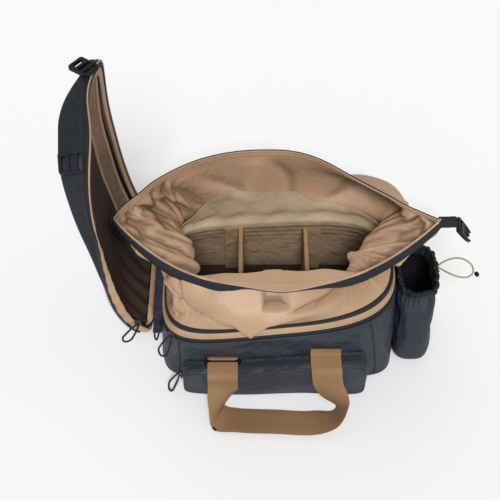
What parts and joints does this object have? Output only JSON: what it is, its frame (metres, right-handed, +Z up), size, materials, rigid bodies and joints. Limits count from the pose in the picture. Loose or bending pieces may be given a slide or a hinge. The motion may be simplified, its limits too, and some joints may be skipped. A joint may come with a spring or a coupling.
{
  "type": "bicycle trunk bag",
  "caption": "Soft trunk bag for a bicycle rack: padded box with dividers, unrolled roll-top collar, open zip lid, front pocket, bottle pocket and webbing handle.",
  "frame": {"origin": "middle of the flat base, on the surface the bag stands on", "axes": "+Z up, +X along the bag from the lid's hinge to the bottle pocket, -Y towards the front pocket"},
  "size_m": [0.555, 0.3248, 0.4609],
  "materials": {
    "navy_cloth": "coated navy-grey nylon",
    "tan_cloth": "satin tan nylon",
    "khaki_lining": "matt quilted khaki lining",
    "lid_lining": "matt olive lining",
    "lid_inside": "matt dark lining",
    "mesh": "dark brown net",
    "zip_tape": "coated black zip",
    "webbing": "matt brown webbing",
    "black_plastic": "moulded black plastic",
    "dark_metal": "dark coated metal",
    "cord": "grey-beige elastic cord"
  },
  "bodies": {
    "root": {"body_shell": "navy_cloth", "padded_lining": "khaki_lining", "divider_left": "khaki_lining", "divider_left_binding": "tan_cloth", "divider_right": "khaki_lining", "divider_right_binding": "tan_cloth", "rim_facing": "tan_cloth", "collar_zip": "zip_tape", "roll_collar": "tan_cloth", "hem_band": "navy_cloth", "lining_band": "khaki_lining", "rim_zip": "zip_tape", "lid_shell": "navy_cloth", "lid_zip": "zip_tape", "lid_trim": "tan_cloth", "lid_lining": "lid_inside", "lid_mesh": "mesh", "lid_mesh_hem": "tan_cloth", "lid_pocket": "lid_lining", "lid_pocket_hem": "tan_cloth", "lid_hinge": "navy_cloth", "front_pocket": "navy_cloth", "pocket_zip": "zip_tape", "bottle_pocket": "navy_cloth", "bottle_cord": "cord", "cord_eyelet": "dark_metal", "cord_bead": "black_plastic", "handle": "webbing", "handle_ring": "black_plastic", "hem_tab_right": "navy_cloth", "buckle_right": "black_plastic", "hem_tab_left": "navy_cloth", "buckle_left": "black_plastic", "lid_tab_front": "navy_cloth", "lid_buckle_front": "black_plastic", "lid_tab_back": "navy_cloth", "lid_buckle_back": "black_plastic", "zip_slider_lid": "dark_metal", "zip_pull_lid": "black_plastic", "zip_slider_rim_low": "dark_metal", "zip_pull_rim_low": "black_plastic", "zip_slider_rim_high": "dark_metal", "zip_pull_rim_high": "black_plastic", "zip_slider_pocket": "dark_metal", "zip_pull_pocket": "black_plastic"}
  },
  "joints": []
}
